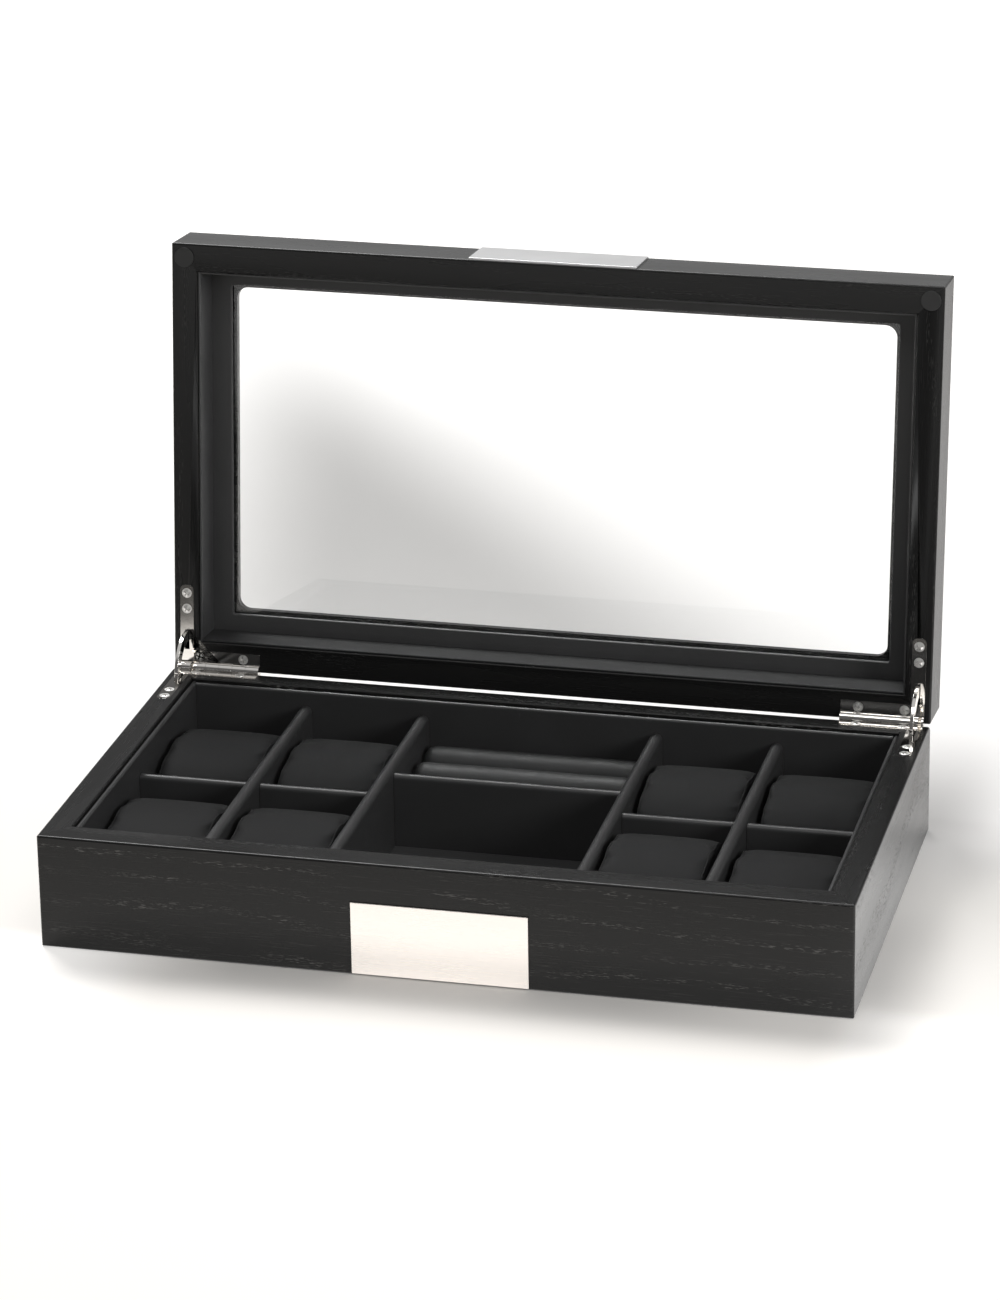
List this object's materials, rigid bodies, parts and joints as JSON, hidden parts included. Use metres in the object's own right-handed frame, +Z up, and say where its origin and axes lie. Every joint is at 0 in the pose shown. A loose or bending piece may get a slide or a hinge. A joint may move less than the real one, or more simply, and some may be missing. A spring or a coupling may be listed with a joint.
{
  "type": "watch box",
  "caption": "Low hinged wooden watch and jewellery box, shown open, with a glazed lid, quadrant hinges, loose watch pillows, ring rolls and a lined tray.",
  "frame": {"origin": "centre of the flat underside of the box, on the surface that it rests on", "axes": "+X from left to right as seen from the front, +Y from the front to the hinged rear, +Z up"},
  "size_m": [0.39, 0.2733, 0.2767],
  "materials": {
    "stained_oak": "black stained open pore oak, low sheen",
    "leatherette": "smooth black leatherette over board, low sheen",
    "pillow_leatherette": "smooth black leatherette, padded and seamed",
    "board": "plain fibreboard",
    "felt": "black felt",
    "satin_plate": "fine satin, plain and unmarked",
    "nickel": "polished nickel plate",
    "window_glass": "clear float glass",
    "clear_rubber": "soft translucent bumper"
  },
  "bodies": {
    "base": {"base_front_wall": "stained_oak", "base_rear_wall": "stained_oak", "base_left_wall": "stained_oak", "base_right_wall": "stained_oak", "base_lining_front": "leatherette", "base_lining_rear": "leatherette", "base_lining_left": "leatherette", "base_lining_right": "leatherette", "base_lining_floor": "leatherette", "long_divider_1": "leatherette", "long_divider_2": "leatherette", "long_divider_3": "leatherette", "long_divider_4": "leatherette", "cross_divider_left": "leatherette", "cross_divider_middle": "leatherette", "cross_divider_right": "leatherette", "ring_rolls": "leatherette", "base_panel": "board", "base_felt": "felt", "base_plate": "satin_plate", "hinge_left_base_leaf": "nickel", "hinge_right_base_leaf": "nickel", "hinge_left_pin": "nickel", "hinge_right_pin": "nickel", "hinge_base_screws": "nickel"},
    "lid": {"lid_front_wall": "stained_oak", "lid_rear_wall": "stained_oak", "lid_left_wall": "stained_oak", "lid_right_wall": "stained_oak", "lid_top_frame": "stained_oak", "lid_lining_front": "leatherette", "lid_lining_rear": "leatherette", "lid_lining_left": "leatherette", "lid_lining_right": "leatherette", "window_bezel": "leatherette", "window_glass": "window_glass", "lid_plate": "satin_plate", "bumper_pads": "clear_rubber", "hinge_left_lid_leaf": "nickel", "hinge_right_lid_leaf": "nickel", "hinge_lid_screws": "nickel"},
    "left_arm": {"hinge_left_arm": "nickel"},
    "right_arm": {"hinge_right_arm": "nickel"},
    "pillow_rear_1": {"pillow_rear_1": "pillow_leatherette"},
    "pillow_rear_2": {"pillow_rear_2": "pillow_leatherette"},
    "pillow_rear_3": {"pillow_rear_3": "pillow_leatherette"},
    "pillow_rear_4": {"pillow_rear_4": "pillow_leatherette"},
    "pillow_front_1": {"pillow_front_1": "pillow_leatherette"},
    "pillow_front_2": {"pillow_front_2": "pillow_leatherette"},
    "pillow_front_3": {"pillow_front_3": "pillow_leatherette"},
    "pillow_front_4": {"pillow_front_4": "pillow_leatherette"}
  },
  "joints": [
    {"name": "lid_hinge", "type": "hinge", "parent": "base", "child": "lid", "pos_m": [0, 0.1095, 0.0574], "axis": [-1, 0, 0], "range_deg": [-95.9, 0]},
    {"name": "left_arm_swing", "type": "hinge", "parent": "base", "child": "left_arm", "pos_m": [-0.1883, 0.1095, 0.0574], "axis": [-1, 0, 0], "range_deg": [-47.95, 0]},
    {"name": "right_arm_swing", "type": "hinge", "parent": "base", "child": "right_arm", "pos_m": [0.1883, 0.1095, 0.0574], "axis": [-1, 0, 0], "range_deg": [-47.95, 0]},
    {"name": "pillow_rear_1_lift", "type": "slide", "parent": "base", "child": "pillow_rear_1", "axis": [0, 0, 1], "range_m": [0, 0.06]},
    {"name": "pillow_rear_2_lift", "type": "slide", "parent": "base", "child": "pillow_rear_2", "axis": [0, 0, 1], "range_m": [0, 0.06]},
    {"name": "pillow_rear_3_lift", "type": "slide", "parent": "base", "child": "pillow_rear_3", "axis": [0, 0, 1], "range_m": [0, 0.06]},
    {"name": "pillow_rear_4_lift", "type": "slide", "parent": "base", "child": "pillow_rear_4", "axis": [0, 0, 1], "range_m": [0, 0.06]},
    {"name": "pillow_front_1_lift", "type": "slide", "parent": "base", "child": "pillow_front_1", "axis": [0, 0, 1], "range_m": [0, 0.06]},
    {"name": "pillow_front_2_lift", "type": "slide", "parent": "base", "child": "pillow_front_2", "axis": [0, 0, 1], "range_m": [0, 0.06]},
    {"name": "pillow_front_3_lift", "type": "slide", "parent": "base", "child": "pillow_front_3", "axis": [0, 0, 1], "range_m": [0, 0.06]},
    {"name": "pillow_front_4_lift", "type": "slide", "parent": "base", "child": "pillow_front_4", "axis": [0, 0, 1], "range_m": [0, 0.06]}
  ],
  "couplings": [
    {"joint": "left_arm_swing", "follows": "lid_hinge", "ratio": 0.5},
    {"joint": "right_arm_swing", "follows": "lid_hinge", "ratio": 0.5}
  ]
}
